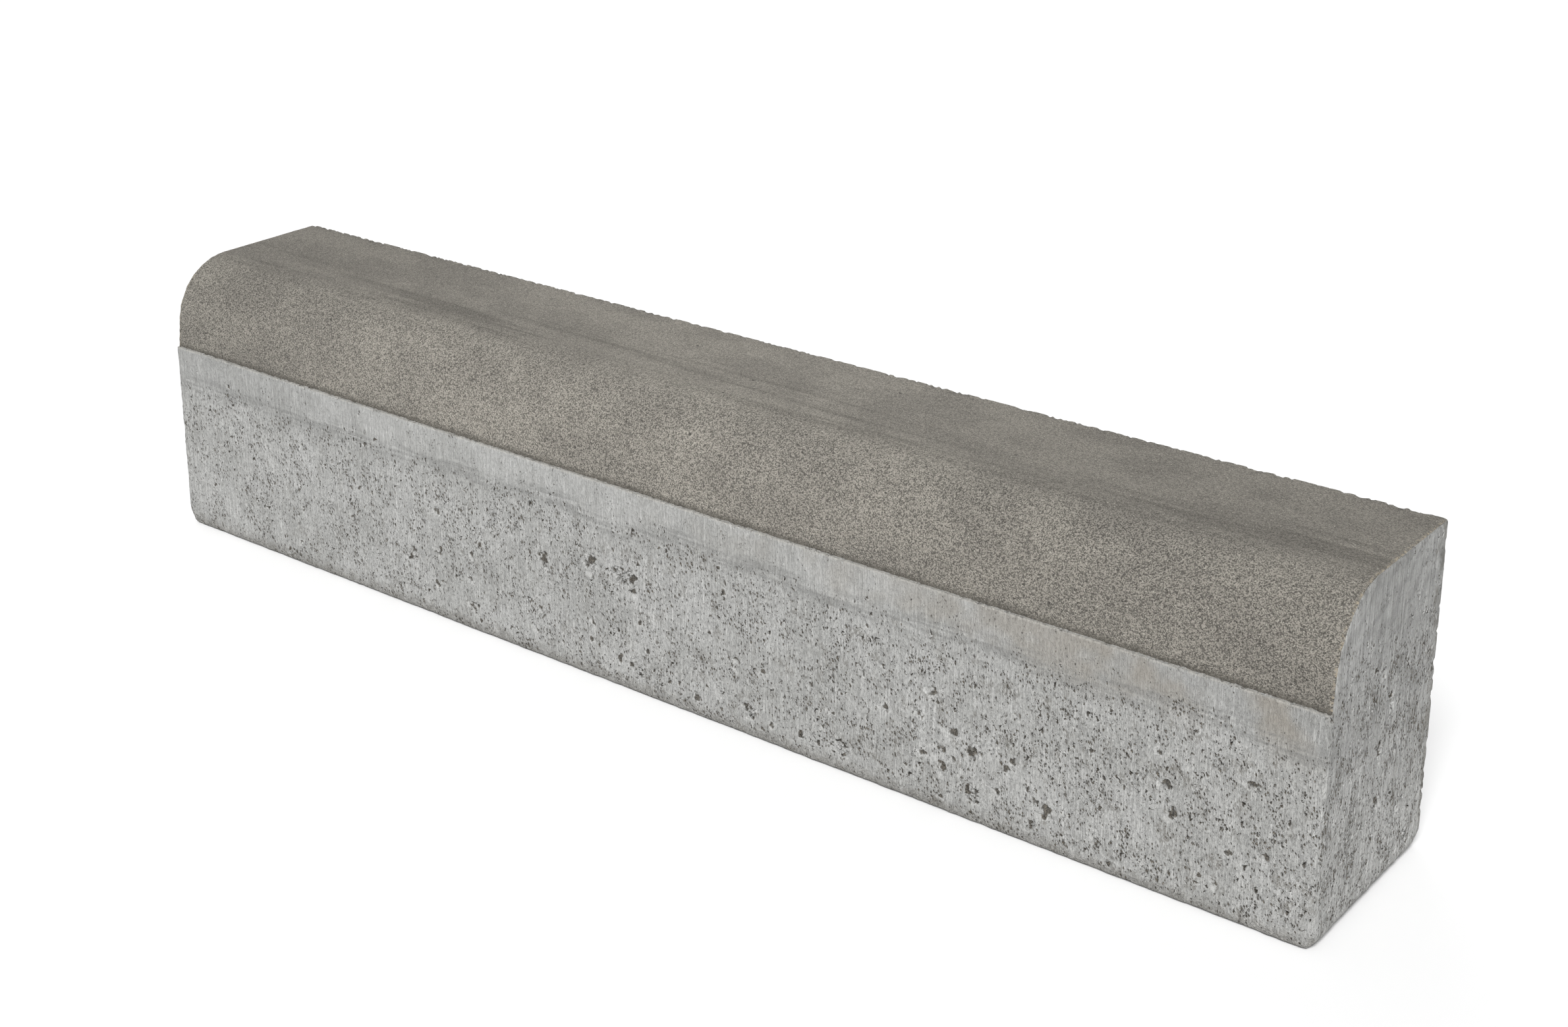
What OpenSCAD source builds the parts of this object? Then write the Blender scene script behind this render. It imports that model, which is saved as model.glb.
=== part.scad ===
// Precast concrete kerb stone with a rounded nose, cast in one piece.
//
// Frame: the origin is the middle of the underside. +X runs along the kerb,
// -Y faces the carriageway, +Y faces the footway and +Z is up.

/* [Stone] */
// Length along the road
kerb_length = 1000; // [300:10:1500]
// Width from the carriageway side to the footway side
kerb_width = 150; // [110:5:250]
// Height from the bed to the top
kerb_height = 220; // [180:5:350]

/* [Nose] */
// Height of the pressed nose, from its ledge to the top
nose_height = 67; // [62:1:90]
// Radius that turns the nose into the flat top
nose_radius = 50; // [20:1:60]
// Lean of the nose's face from the upright, in degrees
nose_batter = 6; // [0:0.5:10]
// Width of the ledge that the nose stands back by
ledge_width = 2; // [1:0.5:6]

/* [Edges] */
// Radius of the two long edges along the bed
bed_edge_radius = 4; // [1:0.5:10]
// Radius of the bed's edges at the two ends
end_edge_radius = 8; // [1:0.5:15]
// Radius of the four upright edges
upright_edge_radius = 3; // [1:0.5:10]

/* [Hidden] */
$fn = 96;

// How far each blank for an intersection or a cut runs past the stone
overrun = 10;

// Height of the upright face on the carriageway side
face_height = kerb_height - nose_height;
// The nose's arc has its centre one radius below the top, and just touches the leaning face
nose_centre_z = kerb_height - nose_radius;
nose_centre_y = ledge_width
    + (nose_centre_z - face_height) * tan(nose_batter)
    + nose_radius / cos(nose_batter);
// Where the leaning face runs into the arc
nose_touch_y = nose_centre_y - nose_radius * cos(nose_batter);
nose_touch_z = nose_centre_z + nose_radius * sin(nose_batter);

// What a rounded edge takes off a square corner at the origin, seen from inside the square.
module edge_waste(radius) {
    difference() {
        translate([-overrun, -overrun]) square(overrun + radius);
        translate([radius, radius]) circle(r = radius);
    }
}

// The part of the section in front of the nose, down to the ledge.
module nose_waste() {
    // In front of the leaning face
    polygon([
        [-overrun, face_height],
        [ledge_width, face_height],
        [nose_touch_y, nose_touch_z],
        [nose_touch_y, kerb_height + overrun],
        [-overrun, kerb_height + overrun]
    ]);
    // Above the arc
    difference() {
        translate([nose_touch_y, nose_touch_z])
            square([nose_centre_y - nose_touch_y, kerb_height + overrun - nose_touch_z]);
        translate([nose_centre_y, nose_centre_z]) circle(r = nose_radius);
    }
}

// Section across the kerb, with the carriageway face on x = 0 and the bed on y = 0.
module section() {
    difference() {
        square([kerb_width, kerb_height]);
        nose_waste();
        edge_waste(bed_edge_radius);
        translate([kerb_width, 0]) mirror([1, 0]) edge_waste(bed_edge_radius);
    }
}

// Outline along the kerb seen from the carriageway, which rounds the bed's edges at the ends.
module elevation() {
    difference() {
        square([kerb_length, kerb_height]);
        edge_waste(end_edge_radius);
        translate([kerb_length, 0]) mirror([1, 0]) edge_waste(end_edge_radius);
    }
}

// Outline seen from above, which rounds the upright edges.
module plan() {
    difference() {
        square([kerb_length, kerb_width]);
        for (x = [0, 1], y = [0, 1])
            translate([x * kerb_length, y * kerb_width])
                mirror([x, 0]) mirror([0, y]) edge_waste(upright_edge_radius);
    }
}

// The stone is what the three outlines have in common.
module kerb_stone() {
    color([0.66, 0.66, 0.64])
        translate([-kerb_length / 2, -kerb_width / 2, 0])
            intersection() {
                rotate([90, 0, 90]) linear_extrude(kerb_length) section();
                translate([0, kerb_width, 0]) rotate([90, 0, 0]) linear_extrude(kerb_width) elevation();
                linear_extrude(kerb_height) plan();
            }
}

kerb_stone();
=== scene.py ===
"""The looks of a precast concrete kerb stone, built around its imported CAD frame. Units are metres.

The stone's skin is one closed mesh that replaces the plain CAD node. Its outline follows the CAD section,
and its points are placed where the relief is: round each pore, over each crumbled recess and along each
edge. Everything is then pressed inwards, so the mesh stays inside the CAD box.
"""
import math

import bpy
import numpy as np
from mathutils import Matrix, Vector
from mathutils.geometry import delaunay_2d_cdt


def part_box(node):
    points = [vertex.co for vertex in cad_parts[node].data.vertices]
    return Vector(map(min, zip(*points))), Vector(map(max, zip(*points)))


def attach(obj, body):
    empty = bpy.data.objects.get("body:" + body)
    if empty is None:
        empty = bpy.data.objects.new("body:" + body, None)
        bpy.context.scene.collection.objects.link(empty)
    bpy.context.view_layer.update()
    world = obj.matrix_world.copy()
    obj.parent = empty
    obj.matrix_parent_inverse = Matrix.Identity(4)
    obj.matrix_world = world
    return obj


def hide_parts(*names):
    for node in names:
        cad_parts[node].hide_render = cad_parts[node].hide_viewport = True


MM = 0.001
SEED = 11

# The section, as the CAD solid has it
NOSE_HEIGHT = 67 * MM
NOSE_RADIUS = 50 * MM
NOSE_BATTER = math.radians(6)
LEDGE_WIDTH = 2 * MM
BED_EDGE_RADIUS = 4 * MM
END_EDGE_RADIUS = 8 * MM

# The upright edges at the ends and the back edge of the bed, which the CAD rounds by 3 mm and 4 mm
UPRIGHT_EDGE_RADIUS = 1.8 * MM
BACK_BED_EDGE_RADIUS = 9 * MM

# Edges that the CAD leaves sharp, and wear leaves a little round
LEDGE_EDGE_RADIUS = 0.8 * MM
TOP_EDGE_RADIUS = 1.2 * MM

# The smooth band without pores under the ledge, and the rough foot of the faces
SMOOTH_BAND = 30 * MM
FOOT_HEIGHT = 14 * MM

# How far in from an end the rows of the rounded edge are measured
CORE_INSET = 12 * MM
EDGE_ROWS = 2

# Spacing of the points along an edge, along an edge that shows crumbs, and round the ends
ROW_PITCH = 2.6 * MM
CRUMB_PITCH = 1.3 * MM
RING_PITCH = 1.5 * MM

# Spacing of the plain points between the pores, along and across each zone, and its number of pores
PITCH = {"bed": (12, 10), "front": (5, 5), "nose": (10, 4), "top": (12, 9), "back": (9, 9), "end": (4.5, 5)}
PORES = {"bed": 180, "front": 4200, "nose": 30, "top": 60, "back": 1000, "end": 1250}

# Smallest and largest half height of a pore by zone, in mm
PORE_SIZES = {"bed": (0.9, 3), "front": (0.8, 3.2), "nose": (0.7, 1.2), "top": (0.7, 1.2),
              "back": (1, 3.6), "end": (0.9, 4)}

# Crumbled recesses: how many large and small ones a face has, and their smallest and largest radius in mm
LARGE_RECESSES = {"front": 16, "back": 5, "end": 6}
SMALL_RECESSES = {"front": 75, "back": 25, "end": 9}
LARGE_RADII = (5, 9.5)
SMALL_RADII = (2.4, 6)

# The one round hole left by air, near the left end and below the ledge
HOLE_FROM_END = 60 * MM
HOLE_BELOW_LEDGE = 20 * MM
HOLE_RADIUS = 2.8 * MM
HOLE_DEPTH = 3.2 * MM

# Share of the pores that lie beside another one
CROWDING = 0.55

CAMERA_AIM = Vector((0, 0.077, 0.270))
CAMERA_AZIMUTH = math.radians(37.765)
CAMERA_ELEVATION = math.radians(17.835)
CAMERA_DISTANCE = 1.65
CAMERA_LENS_MM = 53.26
CAMERA_SHIFT_Y = -0.15

# Brightness of the surrounding, overhead and near the horizon, where it meets the floor
SKY = 0.34
HORIZON = 1.0


# ---------------------------------------------------------------- noise

def lattice(cell, seed):
    """A fixed pseudo-random value from -1 to 1 for each whole-number lattice point."""
    mask = np.int64(0x7FFFFFFF)
    mixed = cell[..., 0] * 374761393 + cell[..., 1] * 668265263 + cell[..., 2] * 1440662683
    mixed = (mixed + seed * 97531) & mask
    mixed = ((mixed ^ (mixed >> 13)) * 1274126177) & mask
    mixed = ((mixed ^ (mixed >> 15)) * 461845907) & mask
    return ((mixed ^ (mixed >> 16)) & 0xFFFF) / 32767.5 - 1


def noise(points, size, seed=0):
    """Smooth noise from -1 to 1 with lumps about size across, which is one length, or one for each axis."""
    at = points / np.asarray(size, float)
    cell = np.floor(at).astype(np.int64)
    t = at - cell
    t = t * t * (3 - 2 * t)
    total = 0
    for corner in np.ndindex(2, 2, 2):
        weight = np.prod(np.where(corner, t, 1 - t), axis=-1)
        total = total + weight * lattice(cell + np.array(corner), seed)
    return total


def rough(points, size, seed=0, octaves=3):
    """Noise with finer, weaker layers on top, from about -1 to 1."""
    total, scale, strength = 0, 1.0, 1.0
    for layer in range(octaves):
        total = total + strength * noise(points, np.asarray(size) * scale, seed + layer)
        scale, strength = scale / 2, strength / 2
    return total / 1.5


def fade(value, low, high):
    """0 below low, 1 above high, and a smooth step between them."""
    t = np.clip((value - low) / (high - low), 0, 1)
    return t * t * (3 - 2 * t)


# ---------------------------------------------------------------- section

def straight(zone, start, end):
    """A straight stretch of the outline: its zone, length and function of t."""
    start, end = np.array(start), np.array(end)
    length = np.linalg.norm(end - start)
    along = (end - start) / length
    outward = np.array([-along[1], along[0]])
    return zone, length, lambda t: (start + t[:, None] * (end - start), np.tile(outward, (len(t), 1)))


def arc(zone, centre, radius, start, end):
    """A round stretch of the outline, clockwise from the angle start to the angle end."""
    centre = np.array(centre)

    def at(t):
        angle = start + t * (end - start)
        outward = np.stack([np.cos(angle), np.sin(angle)], 1)
        return centre + radius * outward, outward

    return zone, radius * abs(end - start), at


class Outline:
    """The section's closed outline, as points (y, z) of the distance s along it."""

    def __init__(self, pieces):
        self.pieces = pieces
        self.starts = np.concatenate([[0], np.cumsum([length for _, length, _ in pieces])])
        self.length = self.starts[-1]

    def at(self, s):
        """Points on the outline and their outward normals."""
        s = np.where(s >= self.length - 1e-9, 0, s)
        index = np.clip(np.searchsorted(self.starts, s, side="right") - 1, 0, len(self.pieces) - 1)
        points, normals = np.empty((len(s), 2)), np.empty((len(s), 2))
        for i, (_, length, at) in enumerate(self.pieces):
            here = index == i
            points[here], normals[here] = at((s[here] - self.starts[i]) / length)
        return points, normals

    def span(self, zone):
        """Where a zone's straight or widest stretch begins and ends."""
        i = max((length, i) for i, (name, length, _) in enumerate(self.pieces) if name == zone)[1]
        return self.starts[i], self.starts[i + 1]

    def touches(self, s, zones):
        """Whether a place on the outline lies in, or at the end of, a piece of one of the zones."""
        return any(name in zones and self.starts[i] - 1e-9 <= s <= self.starts[i + 1] + 1e-9
                   for i, (name, _, _) in enumerate(self.pieces))


def kerb_outline(width, height):
    """From the back of the bed to the front, up the face, round the nose, along the top and down the back."""
    half_turn, right_angle = math.pi, math.pi / 2
    face = height - NOSE_HEIGHT
    centre_z = height - NOSE_RADIUS
    centre_y = LEDGE_WIDTH + (centre_z - face) * math.tan(NOSE_BATTER) + NOSE_RADIUS / math.cos(NOSE_BATTER)
    touch = (centre_y - NOSE_RADIUS * math.cos(NOSE_BATTER), centre_z + NOSE_RADIUS * math.sin(NOSE_BATTER))
    bed, back, ledge, top = BED_EDGE_RADIUS, BACK_BED_EDGE_RADIUS, LEDGE_EDGE_RADIUS, TOP_EDGE_RADIUS
    return Outline([
        straight("bed", (width - back, 0), (bed, 0)),
        arc("foot", (bed, bed), bed, -right_angle, -half_turn),
        straight("front", (0, bed), (0, face - ledge)),
        arc("ledge", (ledge, face - ledge), ledge, half_turn, right_angle),
        straight("ledge", (ledge, face), (LEDGE_WIDTH, face)),
        straight("batter", (LEDGE_WIDTH, face), touch),
        arc("nose", (centre_y, centre_z), NOSE_RADIUS, half_turn - NOSE_BATTER, right_angle),
        straight("top", (centre_y, height), (width - top, height)),
        arc("brow", (width - top, height - top), top, right_angle, 0),
        straight("back", (width, height - top), (width, back)),
        arc("heel", (width - back, back), back, 0, -right_angle),
    ])


def end_radius(points):
    """Radius of the edge between the skin and an end, which is larger along the bed."""
    near_bed = 1 - fade(points[:, 1], 1 * MM, 16 * MM)
    return UPRIGHT_EDGE_RADIUS + (END_EDGE_RADIUS - UPRIGHT_EDGE_RADIUS) * near_bed


def core_rays(outline):
    """Vectors from closely spaced points of the outline to the nearest point of the shrunk outline."""
    s = np.arange(0, outline.length, 0.5 * MM)
    points, normals = outline.at(s)
    shrunk = points - normals * CORE_INSET
    gap = np.linalg.norm(shrunk[:, None] - points[None], axis=2).min(axis=1)
    shrunk = shrunk[gap > CORE_INSET * 0.985]
    nearest = np.linalg.norm(points[:, None] - shrunk[None], axis=2).argmin(axis=1)
    return s, shrunk[nearest] - points


def inward(outline, rays, s, distance):
    """Points at a distance in from the outline, on rays that don't cross."""
    points, _ = outline.at(s)
    at, vectors = rays
    around = s % outline.length
    ray = np.stack([np.interp(around, at, vectors[:, k], period=outline.length) for k in (0, 1)], 1)
    return points + ray * (distance / CORE_INSET)[:, None]


def rounded(distance, radius):
    """Where a point at a distance from a sharp edge goes when it is rounded: along its face, and below it."""
    angle = math.pi / 4 * (1 - np.clip(distance / radius, 0, 1))
    along = np.where(distance < radius, radius - radius * np.sin(angle), distance)
    return along, radius - radius * np.cos(angle)


# ---------------------------------------------------------------- points

class Cloud:
    """Points of one flat domain, with how deep each is pressed in and how much it is a pore's floor."""

    def __init__(self):
        self.parts = []
        self.count = 0

    def add(self, u, v, depth=0.0, pit=0.0):
        u, v, depth, pit = np.broadcast_arrays(np.asarray(u, float), v, depth, pit)
        self.parts.append(np.stack([u.ravel(), v.ravel(), depth.ravel(), pit.ravel()], 1))
        first = self.count
        self.count += u.size
        return np.arange(first, self.count)

    def table(self):
        return np.concatenate(self.parts)


def choose_pores(rng, number, draw, welcome, sizes):
    """Pores, many of them crowding beside another: rows of u, v, half width, half height and depth."""
    found = np.empty((number, 5))
    kept = 0
    smallest, largest = (size * MM for size in sizes)
    for _ in range(number * 12):
        u, v = draw(rng)
        if kept and rng.random() < CROWDING:
            beside = found[rng.integers(kept)]
            u, v = beside[:2] + rng.normal(0, 1, 2) * (2.6 * MM, 4.2 * MM)
        half_height = smallest * (largest / smallest) ** (rng.random() ** 2.2)
        half_width = max(0.42 * MM, half_height * rng.uniform(0.25, 0.55))
        if rng.random() > welcome(u, v, half_width, half_height):
            continue
        near = found[:kept]
        across = (near[:, 0] - u) / (near[:, 2] + half_width)
        up = (near[:, 1] - v) / (near[:, 3] + half_height)
        gap = across ** 2 + up ** 2
        if kept and gap.min() < 0.85:
            continue
        found[kept] = u, v, half_width, half_height, half_width * rng.uniform(1.2, 2.2)
        kept += 1
        if kept == number:
            break
    return found[:kept]


def add_pores(rng, cloud, pores):
    """A ragged, leaning rim round each pore, and one or more points for its floor."""
    for u, v, half_width, half_height, depth in pores:
        corners = 5 if half_height < 1.3 * MM else 7
        turn = (np.arange(corners) + rng.uniform(-0.3, 0.3, corners)) * 2 * math.pi / corners
        reach = rng.uniform(0.5, 1.35, corners)
        lean = rng.uniform(-0.35, 0.15)
        rim_v = half_height * reach * np.sin(turn)
        cloud.add(u + half_width * reach * np.cos(turn) + lean * rim_v, v + rim_v, 0, 0)
        if corners == 5:
            cloud.add(u + 0.18 * half_width, v + 0.22 * half_height, depth, 1)
            continue
        inner_v = half_height * (0.16 + np.array([-0.42, 0.05, 0.42]) * rng.uniform(0.6, 1.1, 3))
        inner_u = half_width * (0.15 + rng.uniform(-0.35, 0.35, 3)) + lean * inner_v
        cloud.add(u + inner_u, v + inner_v, depth * np.array([0.75, 1, 1]) * rng.uniform(0.7, 1.1, 3), 1)


def add_recesses(rng, cloud, recesses, seed):
    """Crumbled recesses: a fine patch of points whose depth follows coarse, broken noise."""
    for u, v, radius, depth in recesses:
        pitch = max(1.05 * MM, radius / 8)
        side = np.arange(-radius, radius, pitch)
        du, dv = (grid.ravel() for grid in np.meshgrid(side, side * 1.15))
        inside = (du / radius) ** 2 + (dv / (radius * 1.15)) ** 2 < 1
        du = du[inside] + rng.uniform(-0.35, 0.35, inside.sum()) * pitch
        dv = dv[inside] + rng.uniform(-0.35, 0.35, inside.sum()) * pitch
        place = np.stack([u + du, v + dv, np.full(len(du), seed * 7.3)], 1)
        share = 1 - np.hypot(du, dv / 1.15) / radius
        broken = 0.7 * noise(place, 4.5 * MM, seed) + 0.9 * noise(place, 1.9 * MM, seed + 1)
        hollow = fade(share * 1.1 + broken - 0.3, 0.05, 0.35) * np.clip(share * 3, 0, 1)
        crumbs = 0.62 + 0.38 * noise(place, 1.5 * MM, seed + 2)
        # How dark the recess is painted varies by this noise: partly dirt, partly painted shade in the hollow
        dirt = 0.55 + 0.45 * noise(place, 2.5 * MM, seed + 3)
        cloud.add(u + du, v + dv, depth * hollow * crumbs, hollow * dirt)


def clear_of(u, v, pores, recesses):
    """Which points lie clear of every pore and recess."""
    free = np.ones(len(u), bool)
    for first in range(0, len(u), 1500):
        part = slice(first, first + 1500)
        du = (u[part, None] - pores[None, :, 0]) / (pores[None, :, 2] + 0.9 * MM)
        dv = (v[part, None] - pores[None, :, 1]) / (pores[None, :, 3] + 0.9 * MM)
        free[part] = (du ** 2 + dv ** 2).min(axis=1) > 1.2
    for ru, rv, radius, _ in recesses:
        free &= np.hypot(u - ru, (v - rv) / 1.15) > radius + 1 * MM
    return free


def jittered(rng, low, high, pitch):
    """A loose grid of points over a rectangle, half a pitch in from its sides. The two pitches are in mm."""
    count = [max(1, round((b - a) / (p * MM))) for a, b, p in zip(low, high, pitch)]
    u, v = np.meshgrid(*[(np.arange(n) + 0.5) / n for n in count])
    u, v = u.ravel(), v.ravel()
    u = low[0] + (high[0] - low[0]) * u + rng.uniform(-0.28, 0.28, len(u)) * pitch[0] * MM
    v = low[1] + (high[1] - low[1]) * v + rng.uniform(-0.28, 0.28, len(v)) * pitch[1] * MM
    return u, v


def bowed(points):
    """The points with straight sides bowed out a little, so that no three points of a side lie in a line."""
    low, high = points.min(axis=0), points.max(axis=0)
    middle, reach = (low + high) / 2, (high - low) / 2
    share = (points - middle) / reach
    return middle + reach * share * (1 + 0.03 * (1 - share[:, ::-1] ** 2))


def triangulate(points, edges):
    """Delaunay triangles inside the closed loop among the edges, all turning the same way."""
    points = bowed(points)
    result = delaunay_2d_cdt([Vector(p) for p in points], edges, [], 1, 1e-9)
    origin = [came[0] for came in result[3]]
    faces = np.array([[origin[i] for i in face] for face in result[2]])
    a, b, c = (points[faces[:, k]] for k in range(3))
    turn = (b[:, 0] - a[:, 0]) * (c[:, 1] - a[:, 1]) - (b[:, 1] - a[:, 1]) * (c[:, 0] - a[:, 0])
    return faces if turn.sum() > 0 else faces[:, ::-1]


def random_recesses(rng, face, low, high, bias):
    """Crumbled recesses of one face, more of them towards the bed, and towards high where bias is under 1."""
    spots = []
    for number, radii in ((LARGE_RECESSES[face], LARGE_RADII), (SMALL_RECESSES[face], SMALL_RADII)):
        for _ in range(number):
            u = low[0] + (high[0] - low[0]) * rng.random() ** bias
            v = low[1] + (high[1] - low[1]) * rng.random() ** 1.6
            radius = rng.uniform(*radii) * MM
            spots.append((u, v, radius, radius * rng.uniform(0.25, 0.36) + 0.3 * MM))
    return spots


# ---------------------------------------------------------------- the stone's mesh

def skin_cloud(rng, outline, length, end_s):
    """Points and fixed edges of the unrolled skin. There u runs along the kerb and v round the section."""
    cloud = Cloud()
    radius = end_radius(outline.at(end_s)[0])
    last = len(end_s) - 1
    ends = np.empty((2, EDGE_ROWS + 1, len(end_s)), int)
    for row in range(EDGE_ROWS + 1):
        step = radius * row / EDGE_ROWS
        ends[0, row] = cloud.add(step, end_s)
        ends[1, row] = cloud.add(length - step, end_s)
    edges = [(side[0, i], side[0, i + 1]) for side in ends for i in range(last)]

    # Rows along the kerb at each joint between the outline's pieces, and inside its small arcs
    stops = sorted({*outline.starts.tolist(), *np.concatenate([
        np.linspace(*outline.span(zone), 5)[1:-1] for zone in ("foot", "heel")]).tolist(),
        sum(outline.span("ledge")) / 2})
    for s in stops:
        column = int(np.abs(end_s - s).argmin())
        pitch = CRUMB_PITCH if outline.touches(s, ("ledge", "brow")) else ROW_PITCH
        margin = radius[column] + pitch
        count = round((length - 2 * margin) / pitch)
        x = np.linspace(margin, length - margin, count) + rng.uniform(-0.3, 0.3, count) * pitch
        if s == stops[0]:
            seam_x = x
        if s == stops[-1]:
            x = seam_x
        inner = cloud.add(x, end_s[column])
        row = [*ends[0, :, column], *inner, *ends[1, ::-1, column]]
        edges += list(zip(row[:-1], row[1:]))
        if s == stops[0]:
            seam_low = row
        if s == stops[-1]:
            seam_high = row

    def from_end(u, v):
        return np.minimum(u, length - u) - np.interp(v, end_s, radius)

    for zone in ("bed", "front", "nose", "top", "back"):
        s0, s1 = outline.span(zone)
        if zone == "nose":
            s0 = outline.span("batter")[0]
        low, high = np.array([UPRIGHT_EDGE_RADIUS, s0]), np.array([length - UPRIGHT_EDGE_RADIUS, s1])
        add_zone(rng, cloud, outline, zone, low, high, from_end)
    return cloud.table(), edges, ends, np.array(seam_low), np.array(seam_high)


def add_zone(rng, cloud, outline, zone, low, high, from_end):
    """The pores, recesses and plain points of one stretch of the skin."""
    length_in = high[0] - low[0]
    recesses = []
    holes = np.empty((0, 5))
    if zone == "front":
        recesses = random_recesses(rng, "front", low + (0, 6 * MM), high - (0, SMOOTH_BAND * 1.4), 0.65)
        place = (low[0] + HOLE_FROM_END, high[1] - HOLE_BELOW_LEDGE)
        holes = np.array([(*place, HOLE_RADIUS, HOLE_RADIUS, HOLE_DEPTH)])
    if zone == "back":
        recesses = random_recesses(rng, "back", low + (0, 8 * MM), high - (0, 8 * MM), 1)
    recesses = [(u, v, radius, depth) for u, v, radius, depth in recesses
                if low[1] + radius * 1.2 < v < high[1] - radius * 1.2 and from_end(u, v) > radius]

    def welcome(u, v, half_width, half_height):
        reach = half_width + half_height
        if from_end(u, v) < half_width + 0.7 * MM or not low[1] + reach < v < high[1] - reach:
            return 0
        if any(math.hypot(u - ru, v - rv) < radius + reach for ru, rv, radius, _ in recesses):
            return 0
        if any(math.hypot(u - h[0], v - h[1]) < 3 * h[2] for h in holes):
            return 0
        crowd = 0.55 + 0.75 * float(noise(np.array([u, v, 3.0]), 26 * MM, 5))
        if zone == "front":
            below = high[1] - v + SMOOTH_BAND * 0.45 * float(noise(np.array([u, v, 4.0]), 40 * MM, 15))
            crowd *= fade(below, SMOOTH_BAND * 0.55, SMOOTH_BAND * 1.35) * 0.95 + 0.05
            crowd *= 0.85 + 0.3 * u
        return crowd

    def draw(rng):
        return low[0] + length_in * rng.random(), low[1] + (high[1] - low[1]) * rng.random()

    pores = choose_pores(rng, PORES[zone], draw, welcome, PORE_SIZES[zone])
    pores = np.concatenate([holes, pores])
    add_pores(rng, cloud, pores)
    add_recesses(rng, cloud, recesses, 20 + len(zone))
    u, v = jittered(rng, low, high, PITCH[zone])
    inside = (np.abs(v - low[1]) > ROW_PITCH * 0.5) & (np.abs(v - high[1]) > ROW_PITCH * 0.5)
    u, v = u[inside], v[inside]
    free = clear_of(u, v, pores, recesses) & (from_end(u, v) > ROW_PITCH / 2)
    cloud.add(u[free], v[free])


def end_cloud(rng, outline, ring, inside_distance, side):
    """Points of one end inside its edge's last ring, as (y, z), and the ring's edges."""
    cloud = Cloud()
    cloud.add(ring[:, 0], ring[:, 1])
    edges = [(i, (i + 1) % len(ring)) for i in range(len(ring))]
    low, high = ring.min(axis=0), ring.max(axis=0)
    recesses = random_recesses(rng, "end", low + 8 * MM, high - np.array([8, 60]) * MM, 0.6)
    room = inside_distance(np.array([(y, z) for y, z, _, _ in recesses]))
    recesses = [r for r, d in zip(recesses, room) if d > r[2] * 1.15 + 2 * MM]

    def welcome(y, z, half_width, half_height):
        reach = half_width + half_height / 2
        if inside_distance(np.array([[y, z]]))[0] < UPRIGHT_EDGE_RADIUS + reach + 0.5 * MM:
            return 0
        if any(math.hypot(y - ry, z - rz) < radius + reach for ry, rz, radius, _ in recesses):
            return 0
        crowd = 0.6 + 0.8 * float(noise(np.array([y, z, side + 0.5]), 22 * MM, 8))
        return crowd * (fade(high[1] - z, 20 * MM, 60 * MM) * 0.92 + 0.08)

    def draw(rng):
        return low + (high - low) * rng.random(2)

    pores = choose_pores(rng, PORES["end"], draw, welcome, PORE_SIZES["end"])
    add_pores(rng, cloud, pores)
    add_recesses(rng, cloud, recesses, 40 + side)
    u, v = jittered(rng, low, high, PITCH["end"])
    free = clear_of(u, v, pores, recesses)
    u, v = u[free], v[free]
    deep = inside_distance(np.stack([u, v], 1)) > end_radius(np.stack([u, v], 1)) + 1.5 * MM
    cloud.add(u[deep], v[deep])
    return cloud.table(), edges


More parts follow.
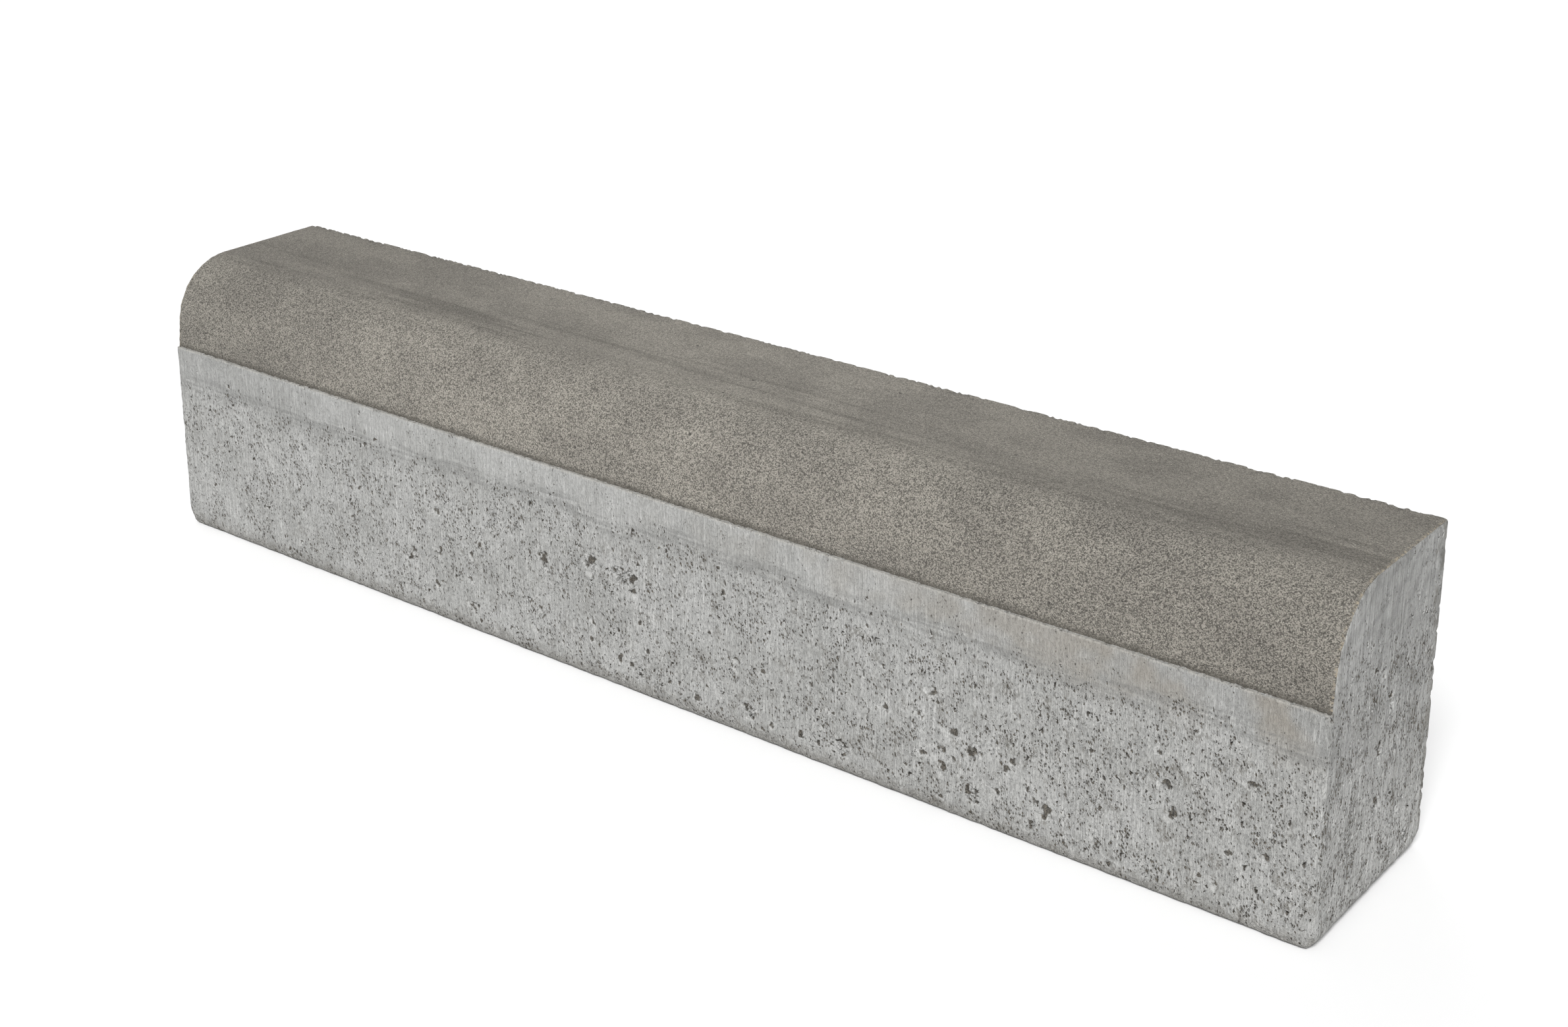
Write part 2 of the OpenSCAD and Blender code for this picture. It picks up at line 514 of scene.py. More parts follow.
def stone_mesh(low, high):
    """The closed skin: points, depths, pits, faces, and for each face whether it is the facing."""
    rng = np.random.default_rng(SEED)
    length, width, height = high - low
    outline = kerb_outline(width, height)
    rays = core_rays(outline)

    # Places round the section where the ends and the skin meet
    stops = np.unique(np.concatenate([
        np.linspace(a, b, max(2, 1 + math.ceil((b - a) / RING_PITCH)))
        for a, b in zip(outline.starts[:-1], outline.starts[1:])]
        + [np.linspace(*outline.span(zone), 5) for zone in ("foot", "heel")]
        + [[sum(outline.span("ledge")) / 2]]).round(7))
    end_s = stops[np.concatenate([[True], np.diff(stops) > 0.12 * MM])]
    end_s[-1] = outline.length

    skin, edges, ends, seam_low, seam_high = skin_cloud(rng, outline, length, end_s)
    faces = triangulate(skin[:, :2], edges)
    facing_from, facing_to = outline.span("batter")[0], outline.span("back")[0]
    middle = skin[:, 1][faces].mean(axis=1)
    is_facing = (middle > facing_from) & (middle < facing_to)

    # The skin's points in space, with the edges at the ends rounded
    from_end = np.minimum(skin[:, 0], length - skin[:, 0])
    radius = end_radius(outline.at(skin[:, 1])[0])
    along, below = rounded(from_end, radius)
    across = inward(outline, rays, skin[:, 1], below)
    x = np.where(skin[:, 0] < length / 2, along, length - along)
    points = [np.column_stack([x, across])]
    depth, pit = [skin[:, 2]], [skin[:, 3]]
    arris = [from_end]
    swap = np.arange(len(skin))
    swap[seam_high] = seam_low
    faces = swap[faces]
    all_faces, all_facing = [faces], [is_facing]

    samples, _ = outline.at(np.arange(0, outline.length, 1 * MM))

    def inside_distance(at):
        return np.linalg.norm(at[:, None] - samples[None], axis=2).min(axis=1)

    count = len(skin)
    around = end_s[:-1]
    ring_radius = end_radius(outline.at(around)[0])
    for side in (0, 1):
        rings = [swap[ends[side, 0, :-1]]]
        for row in range(1, EDGE_ROWS + 1):
            distance = ring_radius * row / EDGE_ROWS
            along, below = rounded(distance, ring_radius)
            place = inward(outline, rays, around, along)
            points.append(np.column_stack([below if side == 0 else length - below, place]))
            depth.append(np.zeros(len(around)))
            pit.append(np.zeros(len(around)))
            arris.append(distance)
            rings.append(np.arange(count, count + len(around)))
            count += len(around)
        for outer, inner in zip(rings[:-1], rings[1:]):
            outer_next, inner_next = np.roll(outer, -1), np.roll(inner, -1)
            band = np.concatenate([np.stack([outer, outer_next, inner], 1),
                                   np.stack([outer_next, inner_next, inner], 1)])
            all_faces.append(band[:, ::-1] if side else band)
            all_facing.append(np.zeros(len(band), bool))
        table, edges = end_cloud(rng, outline, place, inside_distance, side)
        cap = triangulate(table[:, :2], edges)
        ring_size = len(around)
        extra = table[ring_size:]
        index = np.concatenate([rings[-1], np.arange(count, count + len(extra))])
        points.append(np.column_stack([np.full(len(extra), length * side), extra[:, :2]]))
        depth.append(extra[:, 2])
        pit.append(extra[:, 3])
        arris.append(inside_distance(extra[:, :2]))
        count += len(extra)
        cap = index[cap]
        all_faces.append(cap if side else cap[:, ::-1])
        all_facing.append(np.zeros(len(cap), bool))

    points = np.concatenate(points) + low
    return (points, np.concatenate(depth), np.concatenate(pit), np.concatenate(arris),
            np.concatenate(all_faces), np.concatenate(all_facing))


def vertex_normals(points, faces):
    """Outward normals of the vertices, weighted by the area of their faces."""
    a, b, c = (points[faces[:, k]] for k in range(3))
    normal = np.cross(b - a, c - a)
    total = np.zeros_like(points)
    for k in range(3):
        np.add.at(total, faces[:, k], normal)
    size = np.linalg.norm(total, axis=1, keepdims=True)
    return total / np.maximum(size, 1e-20)


def make_stone():
    """The skin as a Blender object with its relief pressed in."""
    low, high = (np.array(corner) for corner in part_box("kerb_stone"))
    points, depth, pit, arris, faces, is_facing = stone_mesh(low, high)
    used = np.unique(faces)
    index = np.zeros(len(points), int)
    index[used] = np.arange(len(used))
    points, depth, pit, arris, faces = points[used], depth[used], pit[used], arris[used], index[faces]
    normals = vertex_normals(points, faces)
    above_bed = points[:, 2] - low[2]

    # Wide, shallow unevenness, the rough foot, and worn edges
    press = depth + 0.12 * MM * (1 + noise(points, 45 * MM, 1)) + 0.06 * MM * (1 + noise(points, 4 * MM, 2))
    foot = 1 - fade(above_bed, 3 * MM, FOOT_HEIGHT)
    press = press + foot * 0.45 * MM * (1 + rough(points, 5 * MM, 3))
    worn = 1 - fade(arris, 0, 3 * MM)
    press = press + worn * 0.35 * MM * (1 + rough(points, 2.4 * MM, 4))
    chips = fade(rough(points, (5 * MM, 5 * MM, 7 * MM), 6), 0.05, 0.7) * worn
    press = press + chips * np.where(points[:, 1] > high[1] - 12 * MM, 3.0 * MM, 1.1 * MM)

    # Crumbs missing along the ledge and along the back of the top
    near_back = 1 - fade(high[1] - points[:, 1], 0.5 * MM, 3 * MM)
    on_brow = near_back * (1 - fade(high[2] - points[:, 2], 0.5 * MM, 3 * MM))
    on_ledge = (1 - fade(np.abs(above_bed - (high[2] - low[2] - NOSE_HEIGHT)), 0.9 * MM, 2 * MM))
    on_ledge = on_ledge * (points[:, 1] < low[1] + LEDGE_WIDTH)
    small, large = (noise(points, (size * MM, 9 * MM, 9 * MM), seed) for size, seed in ((2.1, 7), (6, 8)))
    crumbs = fade(small + 0.6 * large, -0.2, 0.8)
    press = press + crumbs * (on_brow * 1.3 * MM + on_ledge * 1.2 * MM)
    points = points - normals * press[:, None]

    mesh = bpy.data.meshes.new("kerb_stone_cast")
    mesh.from_pydata(points.tolist(), [], faces.tolist())
    mesh.materials.append(skin_material())
    mesh.materials.append(facing_material())
    mesh.polygons.foreach_set("material_index", is_facing.astype(np.int32))
    # How much a point is a pit floor, which the materials paint dark as dirt and painted shade
    mesh.attributes.new("pit", "FLOAT", "POINT").data.foreach_set("value", pit.astype(np.float32))
    mesh.shade_smooth()
    mesh.set_sharp_from_angle(angle=math.radians(35))
    mesh.update()
    stone = bpy.data.objects.new("kerb_stone_cast", mesh)
    bpy.context.scene.collection.objects.link(stone)
    return stone


# ---------------------------------------------------------------- materials

# The stone's half length and half width and the height of its ledge, in mm
HALF_LENGTH = 500
HALF_WIDTH = 75
LEDGE_LEVEL = 153

# Colours of the cement skin
LIGHT_CEMENT = (0.446, 0.446, 0.434, 1)
DULL_CEMENT = (0.392, 0.392, 0.379, 1)
TORN_CEMENT = (0.270, 0.266, 0.252, 1)
DIRT = (0.200, 0.190, 0.170, 1)
REAR_DIRT = (0.165, 0.152, 0.125, 1)
BEIGE = (0.30, 0.275, 0.237, 1)
DULL_LINE = (0.205, 0.205, 0.198, 1)
FOOT_BROWN = (0.215, 0.200, 0.175, 1)
# Near-black painted shade inside pores and pits; the brown below it is their dirt
PORE_SHADE = (0.046, 0.040, 0.031, 1)
PORE_SAND = (0.185, 0.160, 0.124, 1)
PORE_HALO = (0.20, 0.195, 0.18, 1)
# Painted highlight on the lower, upward-facing ramp of each pore
PORE_RAMP_HIGHLIGHT = (0.58, 0.58, 0.565, 1)
# Painted highlight round the rim of each pit
PIT_RIM_HIGHLIGHT = (0.56, 0.56, 0.545, 1)
LIME = (0.56, 0.56, 0.54, 1)
LIP = (0.46, 0.445, 0.41, 1)

# Colours of the facing
WARM_SAND = (0.228, 0.214, 0.187, 1)
DULL_SAND = (0.192, 0.180, 0.158, 1)
STREAK = (0.125, 0.117, 0.102, 1)
PALE_GRAIN = (0.46, 0.44, 0.38, 1)
# Painted shade inside the pinholes
PINHOLE_SHADE = (0.06, 0.055, 0.05, 1)
LEDGE_SHADE = (0.085, 0.078, 0.066, 1)
# Pit floors of the facing: dirt and painted shade
FACING_PIT_DIRT_AND_SHADE = (0.06, 0.055, 0.048, 1)
OCHRE_CRUMB = (0.40, 0.345, 0.255, 1)

# The way the ramp in each pore faces, which gets a painted highlight as if lit from that side: up, and a
# little to +X and +Y
UPWARDS = (0.4, 0.3, 0.8)


class Nodes:
    """The shader nodes of one material, with short calls for the few kinds used here. Sizes are in mm."""

    def __init__(self, name, roughness):
        self.material = bpy.data.materials.new(name)
        self.material.use_nodes = True
        self.tree = self.material.node_tree
        self.shader = self.tree.nodes["Principled BSDF"]
        self.shader.inputs["Roughness"].default_value = roughness
        self.shader.inputs["Specular IOR Level"].default_value = 0.3
        coordinates = self.tree.nodes.new("ShaderNodeTexCoord").outputs["Object"]
        self.place = self.vector("MULTIPLY", coordinates, (1 / MM, 1 / MM, 1 / MM))
        axes = self.tree.nodes.new("ShaderNodeSeparateXYZ")
        self.put(self.place, axes.inputs[0])
        self.x, self.y, self.z = axes.outputs

    def put(self, value, socket):
        """Links a socket to another, or sets its value."""
        if isinstance(value, bpy.types.NodeSocket):
            self.tree.links.new(value, socket)
        else:
            socket.default_value = value

    def vector(self, operation, a, b):
        node = self.tree.nodes.new("ShaderNodeVectorMath")
        node.operation = operation
        self.put(a, node.inputs[0])
        self.put(b, node.inputs[1])
        return node.outputs["Vector"]

    def math(self, operation, a, b=0.0):
        node = self.tree.nodes.new("ShaderNodeMath")
        node.operation = operation
        self.put(a, node.inputs[0])
        self.put(b, node.inputs[1])
        return node.outputs[0]

    def add(self, first, *others):
        for other in others:
            first = self.math("ADD", first, other)
        return first

    def times(self, first, *others):
        for other in others:
            first = self.math("MULTIPLY", first, other)
        return first

    def noise(self, size, detail=2.0, seed=0, roughness=0.5):
        """Noise from 0 to 1 with lumps of one size, or of one size for each axis."""
        size = (size, size, size) if isinstance(size, (int, float)) else size
        shifted = self.vector("ADD", self.place, (seed * 713.0, seed * 391.0, seed * 157.0))
        node = self.tree.nodes.new("ShaderNodeTexNoise")
        self.put(self.vector("MULTIPLY", shifted, tuple(1 / s for s in size)), node.inputs["Vector"])
        node.inputs["Scale"].default_value = 1
        node.inputs["Detail"].default_value = detail
        node.inputs["Roughness"].default_value = roughness
        return node.outputs["Fac"]

    def grains(self, size, seed=0):
        """Cells of one size, or of one for each axis.

        Gives a place's distance from its cell's middle, a random number for the cell, and how far the
        place lies from that middle in the direction UPWARDS.
        """
        size = (size, size, size) if isinstance(size, (int, float)) else size
        shifted = self.vector("ADD", self.place, (seed * 713.0, seed * 391.0, seed * 157.0))
        cells = self.vector("MULTIPLY", shifted, tuple(1 / s for s in size))
        node = self.tree.nodes.new("ShaderNodeTexVoronoi")
        self.put(cells, node.inputs["Vector"])
        node.inputs["Scale"].default_value = 1
        split = self.tree.nodes.new("ShaderNodeSeparateColor")
        self.put(node.outputs["Color"], split.inputs[0])
        along = self.tree.nodes.new("ShaderNodeVectorMath")
        along.operation = "DOT_PRODUCT"
        self.put(self.vector("SUBTRACT", cells, node.outputs["Position"]), along.inputs[0])
        self.put(UPWARDS, along.inputs[1])
        return node.outputs["Distance"], split.outputs[0], along.outputs["Value"]

    def step(self, value, low, high, to_low=0.0, to_high=1.0):
        """A smooth step from to_low, where value equals low, to to_high, where it equals high."""
        node = self.tree.nodes.new("ShaderNodeMapRange")
        node.interpolation_type = "SMOOTHSTEP"
        for name, number in (("Value", value), ("From Min", low), ("From Max", high),
                             ("To Min", to_low), ("To Max", to_high)):
            self.put(number, node.inputs[name])
        return node.outputs["Result"]

    def mix(self, share, a, b, blend="MIX"):
        node = self.tree.nodes.new("ShaderNodeMix")
        node.data_type = "RGBA"
        node.blend_type = blend
        self.put(share, node.inputs["Factor"])
        self.put(a, node.inputs["A"])
        self.put(b, node.inputs["B"])
        return node.outputs["Result"]

    def shade(self, colour, brightness):
        """The colour times a brightness that is 1 on average."""
        grey = self.tree.nodes.new("ShaderNodeCombineColor")
        for socket in grey.inputs[:3]:
            self.put(brightness, socket)
        return self.mix(1.0, colour, grey.outputs[0], "MULTIPLY")

    def attribute(self, name):
        node = self.tree.nodes.new("ShaderNodeAttribute")
        node.attribute_name = name
        return node.outputs["Fac"]

    def finish(self, colour, height):
        """Connects the colour, and a height in mm as bump."""
        self.put(colour, self.shader.inputs["Base Color"])
        bump = self.tree.nodes.new("ShaderNodeBump")
        bump.inputs["Distance"].default_value = MM
        bump.inputs["Strength"].default_value = 1
        self.put(height, bump.inputs["Height"])
        self.put(bump.outputs["Normal"], self.shader.inputs["Normal"])
        return self.material


class Skin(Nodes):
    """The light grey cement skin against the mould, with drag marks, pores, a brown foot and a pale lip."""

    def __init__(self):
        super().__init__("cement_skin", 0.88)
        self.on_front = self.step(self.y, 1.4 - HALF_WIDTH, 0.8 - HALF_WIDTH)
        self.from_middle = self.math("ABSOLUTE", self.x)
        self.on_end = self.step(self.from_middle, HALF_LENGTH - 1.4, HALF_LENGTH - 0.8)

        # Height with wavy levels, and the calm zones where the skin has few pores
        self.level = self.add(self.z, self.times(self.add(self.noise(70, 2, seed=9), -0.5), 26))
        self.calm_front = self.times(self.step(self.level, LEDGE_LEVEL - 34, LEDGE_LEVEL - 20), self.on_front)
        self.calm_end = self.times(self.step(self.level, 150, 185), self.on_end)
        self.calm = self.math("MAXIMUM", self.calm_front, self.calm_end)

        self.drag = self.noise((0.6, 0.6, 34), 3, seed=1, roughness=0.7)
        self.patch = self.noise((6, 6, 11), 3, seed=4, roughness=0.65)
        self.torn = self.noise((1.2, 1.2, 2.8), 3, seed=8, roughness=0.7)
        self.grain = self.noise(0.42, 2, seed=5)
        self.crumb = self.noise(1.4, 3, seed=13, roughness=0.7)
        self.pit = self.attribute("pit")
        self.foot = self.foot_share()
        self.over, self.ramp_highlight = self.fine_pores()

    def foot_share(self):
        """How much a place belongs to the rough, brown foot."""
        level = self.add(self.z, self.times(self.add(self.noise((9, 9, 6), 3, seed=12), -0.5), 20))
        return self.times(self.step(level, 14, 2), self.math("SUBTRACT", 1, self.times(self.on_end, 0.6)))

    def fine_pores(self):
        """Small ragged pores, longer than wide, in loose crowds, and long tears on the ends.

        Gives how far a place is inside one, which is above 0 there, and how much it is on a pore's
        upward-facing ramp, where a painted highlight goes.
        """
        crowd = self.add(self.noise((12, 12, 18), 2, seed=6), self.times(self.calm, -0.24), -0.46)
        ragged = self.times(self.add(self.noise((0.7, 0.7, 1.3), 2, seed=7, roughness=0.65), -0.5), 0.8)
        small_middle, small_pick, small_above = self.grains((1.7, 1.7, 3.0), seed=19)
        large_middle, large_pick, large_above = self.grains((3.6, 3.6, 7.5), seed=20)
        small = self.add(self.step(small_pick, 0.1, 1, 0.0, 0.30), self.times(small_middle, -1),
                         self.times(crowd, 0.9))
        large = self.add(self.step(large_pick, 0.3, 1, -0.10, 0.20), self.times(large_middle, -1),
                         self.times(crowd, 0.7))
        tear = self.add(self.noise((0.9, 0.9, 9), 3, seed=17, roughness=0.65), self.times(crowd, 0.5), -0.635)
        over = self.add(self.math("MAXIMUM", small, large), ragged)
        over = self.math("MAXIMUM", over, self.add(self.times(tear, 3), self.step(self.on_end, 0, 1, -1, 0)))
        # The lower side of each pore, which faces UPWARDS and gets a painted highlight
        small_ramp_highlight = self.times(self.step(self.add(small, ragged), -0.10, 0.0),
                                self.step(small_above, -0.06, -0.20))
        large_ramp_highlight = self.times(self.step(self.add(large, ragged), -0.08, 0.0),
                                self.step(large_above, -0.05, -0.16))
        return over, self.math("MAXIMUM", small_ramp_highlight, large_ramp_highlight)

    def cement(self):
        """The bare cement's colour: blotchy, combed by the mould, and brighter low on the ends."""
        wide_drag = self.noise((1.6, 1.6, 60), 2, seed=2)
        blotch = self.noise(48, 3, seed=3)
        colour = self.mix(self.step(blotch, 0.35, 0.65), DULL_CEMENT, LIGHT_CEMENT)
        colour = self.mix(self.times(self.step(self.patch, 0.5, 0.68), 0.28), colour, TORN_CEMENT)
        shaded = self.times(self.step(self.torn, 0.46, 0.64, 0.03, -0.12),
                            self.add(1, self.times(self.calm, -0.6)))
        combed = self.times(self.step(wide_drag, 0.38, 0.62, -0.04, 0.04),
                            self.step(self.on_end, 0, 1, 1, 2.6))
        brightness = self.add(self.step(self.drag, 0.41, 0.59, -0.16, 0.10), combed,
                              self.step(self.grain, 0.36, 0.64, -0.06, 0.06), shaded, 1.0)
        colour = self.shade(colour, brightness)
        low_on_end = self.times(self.on_end, self.step(self.z, 190, 20, -0.10, 0.15))
        colour = self.shade(colour, self.add(low_on_end, 1.0))
        towards_end = self.step(self.from_middle, 200, 450, 0, -0.12)
        return self.shade(colour, self.add(self.times(self.calm_front, towards_end), 1.0))

    def stained(self, colour):
        """The colour with dirt, mostly where the skin is torn, at the back of the ends and towards +X."""
        behind = self.add(self.y, self.times(self.add(self.patch, -0.5), 60))
        rear = self.times(self.on_end, self.step(behind, HALF_WIDTH - 13, HALF_WIDTH + 1))
        colour = self.mix(self.times(rear, 0.5), colour, REAR_DIRT)
        dirt_patch = self.noise((15, 15, 19), 4, seed=31, roughness=0.7)
        dirt = self.times(self.step(dirt_patch, 0.52, 0.66), self.step(self.torn, 0.38, 0.56))
        dirt = self.times(dirt, self.step(self.calm, 1, 0, 0.1, 0.65), self.step(self.on_end, 0, 1, 1, 0.5))
        dirt = self.times(dirt, self.step(self.x, -300, 480, 0.6, 1.2))
        return self.mix(dirt, colour, DIRT)

    def banded(self, colour):
        """The colour with a beige cast under the ledge, a dull wavy line there, and waves on the ends."""
        beige = self.times(self.step(self.x, -100, 480),
                           self.step(self.level, LEDGE_LEVEL - 45, LEDGE_LEVEL - 13),
                           self.step(self.noise(34, 2, seed=10), 0.4, 0.62), self.on_front)
        colour = self.mix(self.times(beige, 0.75), colour, BEIGE)
        layers = self.step(self.noise((60, 60, 3.5), 3, seed=18), 0.38, 0.60)
        line = self.times(self.step(self.level, LEDGE_LEVEL - 38, LEDGE_LEVEL - 31),
                          self.step(self.level, LEDGE_LEVEL - 16, LEDGE_LEVEL - 25),
                          self.add(self.on_front, self.times(self.on_end, 0.5)))
        colour = self.mix(self.times(line, layers, 0.5), colour, DULL_LINE)
        sway = self.times(self.noise(22, 3, seed=11), 15)
        slant = self.math("SINE", self.add(self.times(self.z, 0.30), self.times(self.y, -0.22), sway))
        waves = self.times(self.step(slant, -0.2, 1), self.times(self.calm_end, -0.18))
        return self.shade(colour, self.add(waves, 1.0))

    def footed(self, colour):
        """The colour with the rougher, browner foot."""
        colour = self.mix(self.times(self.foot, 0.45), colour, FOOT_BROWN)
        crumbs = self.times(self.foot, self.step(self.crumb, 0.35, 0.65, -0.20, 0.28))
        return self.shade(colour, self.add(crumbs, 1.0))

    def hollowed(self, colour):
        """The colour with pores and pits: dark inside from brown dirt and painted shade, with a painted
        highlight round each pit's rim and on each pore's lower ramp.
        """
        # Inside of pores and pits: painted shade, with patches of brown dirt
        inside = self.mix(self.step(self.noise(0.9, 2, seed=14), 0.45, 0.62), PORE_SHADE, PORE_SAND)
        colour = self.mix(self.times(self.step(self.over, -0.14, 0.02), 0.06), colour, PORE_HALO)
        # Painted shade inside each shader pore, weaker on its lower ramp, so its upper side reads as shadowed
        pores = self.times(self.step(self.over, 0.0, 0.08), self.step(self.ramp_highlight, 0, 1, 0.95, 0.2))
        colour = self.mix(pores, colour, inside)
        # Painted highlight on each pore's lower ramp, as if lit from above
        colour = self.mix(self.times(self.ramp_highlight, 0.6), colour, PORE_RAMP_HIGHLIGHT)
        # Painted highlight round the rim of each pit
        rim = self.times(self.step(self.pit, 0.0, 0.10), self.step(self.pit, 0.50, 0.32))
        colour = self.mix(self.times(rim, 0.6), colour, PIT_RIM_HIGHLIGHT)
        # Pit floors and recesses painted dark: partly dirt, partly painted shade
        return self.mix(self.times(self.step(self.pit, 0.30, 0.62), 0.84), colour, inside)

    def limed(self, colour):
        """The colour with white specks of lime, and with the pale lip along the ledge."""
        middle, pick, _ = self.grains(5.5, seed=15)
        speck = self.times(self.step(middle, 0.13, 0.07), self.step(pick, 0.86, 0.88))
        colour = self.mix(self.times(speck, 0.8), colour, LIME)
        lip = self.times(self.step(self.z, LEDGE_LEVEL - 2.1, LEDGE_LEVEL - 0.8),
                         self.step(self.z, LEDGE_LEVEL + 3, LEDGE_LEVEL + 1),
                         self.step(self.noise((2.2, 2, 2), 2, seed=16), 0.3, 0.5))
        near_front = self.step(self.y, 5 - HALF_WIDTH, 2 - HALF_WIDTH)
        return self.mix(self.times(lip, 0.65, near_front), colour, LIP)

    def height(self):
        """The fine relief that the mesh doesn't hold, in mm."""
        return self.add(
            self.step(self.over, -0.10, 0.12, 0.08, -1.10), self.step(self.drag, 0.38, 0.62, -0.09, 0.09),
            self.step(self.torn, 0.45, 0.65, 0.08, -0.30), self.step(self.grain, 0.3, 0.7, -0.04, 0.04),
            self.times(self.add(self.patch, -0.5), 0.9),
            self.times(self.foot, self.step(self.crumb, 0.3, 0.7, -0.45, 0.45)),
            self.times(self.pit, self.step(self.crumb, 0.3, 0.7, -0.6, 0.6)))


def skin_material():
    skin = Skin()
    colour = skin.footed(skin.banded(skin.stained(skin.cement())))
    return skin.finish(skin.limed(skin.hollowed(colour)), skin.height())


def facing_material():
    """The darker, sandy facing of the nose and the top, like coarse sandpaper."""
    n = Nodes("sand_facing", 0.93)
    fine = n.noise(0.38, 2, seed=21, roughness=0.7)
    coarse = n.noise(1.3, 3, seed=22, roughness=0.75)
    middle, pick, _ = n.grains(0.66, seed=23)
    blotch = n.noise((60, 34, 40), 3, seed=24)
    paler = n.step(n.math("ABSOLUTE", n.add(n.x, 40)), 430, 90, 0.91, 1.08)

    # Lengthwise dull streaks where the curve runs into the flat top
    streak = n.noise((170, 9, 16), 3, seed=25, roughness=0.55)
    wide_streak = n.noise((260, 24, 30), 2, seed=26)
    flat = n.step(n.y, -38, -22)
    near_bend = n.times(flat, n.step(n.y, 26, 2))

    colour = n.mix(n.step(blotch, 0.36, 0.64), DULL_SAND, WARM_SAND)
    colour = n.shade(colour, n.times(paler, n.step(flat, 0, 1, 1, 0.97)))
    streaks = n.add(n.times(streak, 0.6), n.times(wide_streak, 0.4))
    dark_streak = n.times(near_bend, n.step(streaks, 0.46, 0.60))
    colour = n.mix(n.times(dark_streak, 0.7), colour, STREAK)

    # The grains show less on the flat top, which is rubbed smoother
    contrast = n.step(n.y, -50, -15, 1.0, 0.62)
    spread = n.add(n.step(fine, 0.42, 0.58, -0.18, 0.18), n.step(coarse, 0.36, 0.64, -0.08, 0.08),
                   n.step(pick, 0.1, 0.9, -0.46, 0.56), n.step(middle, 0.35, 0.70, 0.03, -0.20))
    colour = n.shade(colour, n.add(n.times(spread, contrast), 1.0))

    # Pale grains, pinholes painted dark as shade inside them, and the dark line above the ledge
    pale_middle, pale_pick, _ = n.grains(2.1, seed=27)
    pale = n.times(n.step(pale_middle, 0.24, 0.14), n.step(pale_pick, 0.82, 0.86))
    colour = n.mix(n.times(pale, 0.75), colour, PALE_GRAIN)
    hole_middle, hole_pick, _ = n.grains(24, seed=28)
    hole = n.times(n.step(hole_middle, 0.05, 0.03), n.step(hole_pick, 0.8, 0.82))
    colour = n.mix(n.times(hole, 0.8), colour, PINHOLE_SHADE)
    root = n.step(n.add(n.z, n.times(n.add(coarse, -0.5), 12)), LEDGE_LEVEL + 4.8, LEDGE_LEVEL + 1.2)
    near_front = n.step(n.y, 15 - HALF_WIDTH, 9 - HALF_WIDTH)
    colour = n.mix(n.times(root, near_front, 0.62), colour, LEDGE_SHADE)
    pit = n.attribute("pit")
    # Pit floors painted dark, partly dirt and partly painted shade
    colour = n.mix(n.times(n.step(pit, 0.05, 0.75), 0.85), colour, FACING_PIT_DIRT_AND_SHADE)

    # Ochre and pale crumbs along the edges at the ends
    edge = n.step(n.math("ABSOLUTE", n.x), HALF_LENGTH - 3.7, HALF_LENGTH - 1.4)
    crumb = n.step(n.noise(2.4, 3, seed=29, roughness=0.7), 0.46, 0.62)
    colour = n.mix(n.times(edge, crumb, 0.65), colour, OCHRE_CRUMB)

    height = n.times(n.add(n.step(fine, 0.2, 0.8, -0.07, 0.07), n.step(coarse, 0.2, 0.8, -0.10, 0.10),
                           n.step(middle, 0.1, 0.8, 0.08, -0.08), n.times(hole, -1.2)), n.add(contrast, 0.1))
    return n.finish(colour, height)


# ---------------------------------------------------------------- camera, light and floor

def make_camera():
    """The camera, looking along CAMERA_AZIMUTH and down by CAMERA_ELEVATION."""
    data = bpy.data.cameras.new("camera")
    data.lens = CAMERA_LENS_MM
    data.sensor_width = 36
    data.shift_y = CAMERA_SHIFT_Y
    camera = bpy.data.objects.new("camera", data)
    bpy.context.scene.collection.objects.link(camera)
    back = Vector((math.sin(CAMERA_AZIMUTH) * math.cos(CAMERA_ELEVATION),
                   -math.cos(CAMERA_AZIMUTH) * math.cos(CAMERA_ELEVATION),
                   math.sin(CAMERA_ELEVATION)))
    camera.location = CAMERA_AIM + back * CAMERA_DISTANCE
    camera.rotation_euler = (-back).to_track_quat("-Z", "Y").to_euler()
    bpy.context.scene.camera = camera


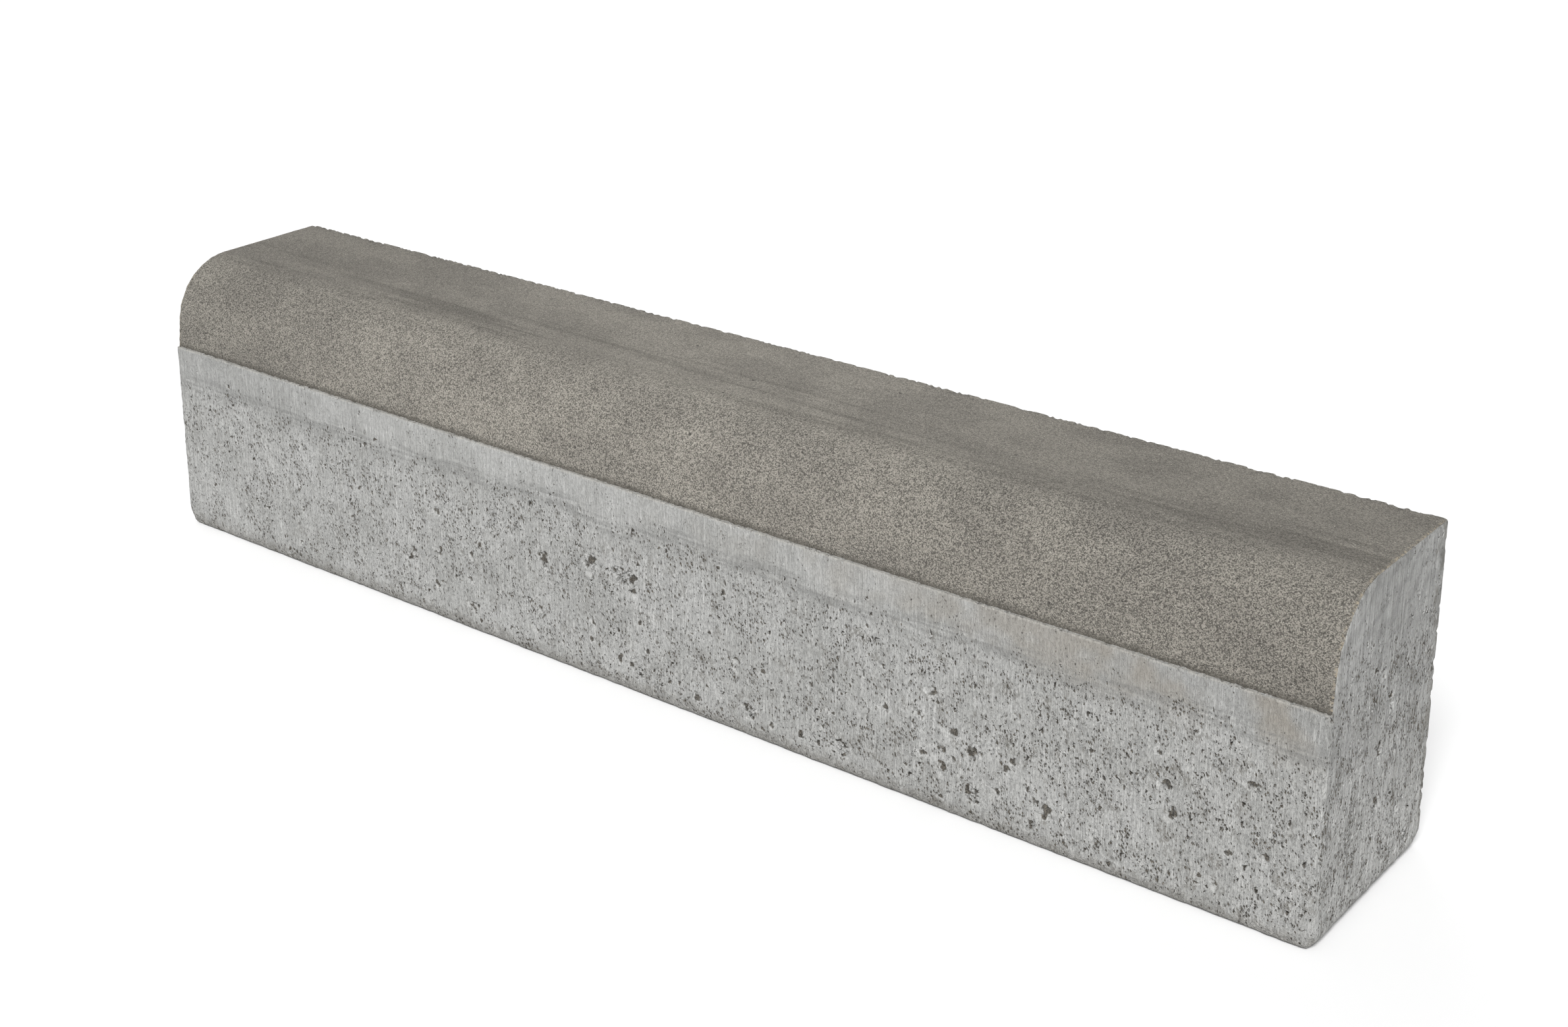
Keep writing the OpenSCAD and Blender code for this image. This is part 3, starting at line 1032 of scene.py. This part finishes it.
def make_sun(name, towards, softness, strength):
    """A distant light in the direction towards, soft by the angle that it fills in degrees."""
    data = bpy.data.lights.new(name, "SUN")
    data.angle = math.radians(softness)
    data.energy = strength
    light = bpy.data.objects.new(name, data)
    bpy.context.scene.collection.objects.link(light)
    light.rotation_euler = Vector(towards).to_track_quat("Z", "Y").to_euler()


def make_studio():
    """A pale floor, a white surrounding and soft lights."""
    scene = bpy.context.scene
    scene.view_settings.view_transform = "Standard"
    world = bpy.data.worlds.new("studio")
    world.use_nodes = True
    tree = world.node_tree
    background = tree.nodes["Background"]
    background.inputs["Color"].default_value = (1, 1, 1, 1)
    direction = tree.nodes.new("ShaderNodeTexCoord").outputs["Generated"]
    axes = tree.nodes.new("ShaderNodeSeparateXYZ")
    tree.links.new(direction, axes.inputs[0])
    height = tree.nodes.new("ShaderNodeMapRange")
    tree.links.new(axes.outputs["Z"], height.inputs["Value"])
    for name, number in (("From Min", 0.10), ("From Max", 0.18), ("To Min", HORIZON), ("To Max", SKY)):
        height.inputs[name].default_value = number
    tree.links.new(height.outputs["Result"], background.inputs["Strength"])
    scene.world = world
    make_sun("key", (0.30, -0.62, 0.73), 22, 3.3)
    make_sun("fill", (-0.6, 0.5, 0.6), 40, 0.35)

    mesh = bpy.data.meshes.new("floor")
    half = 8
    corners = [(-half, -half, 0), (half, -half, 0), (half, half, 0), (-half, half, 0)]
    mesh.from_pydata(corners, [], [(0, 1, 2, 3)])
    material = bpy.data.materials.new("pale_floor")
    material.use_nodes = True
    shader = material.node_tree.nodes["Principled BSDF"]
    shader.inputs["Base Color"].default_value = (0.9, 0.9, 0.9, 1)
    shader.inputs["Roughness"].default_value = 0.9
    mesh.materials.append(material)
    floor = bpy.data.objects.new("floor", mesh)
    scene.collection.objects.link(floor)


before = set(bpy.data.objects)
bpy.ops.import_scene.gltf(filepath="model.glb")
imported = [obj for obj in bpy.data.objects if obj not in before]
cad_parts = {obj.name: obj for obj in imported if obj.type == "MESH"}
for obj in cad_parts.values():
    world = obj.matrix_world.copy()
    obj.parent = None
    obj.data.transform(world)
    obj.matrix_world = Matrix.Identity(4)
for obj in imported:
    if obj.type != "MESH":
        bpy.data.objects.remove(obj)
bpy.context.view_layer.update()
stone = make_stone()
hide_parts("kerb_stone")
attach(stone, "root")
make_camera()
make_studio()
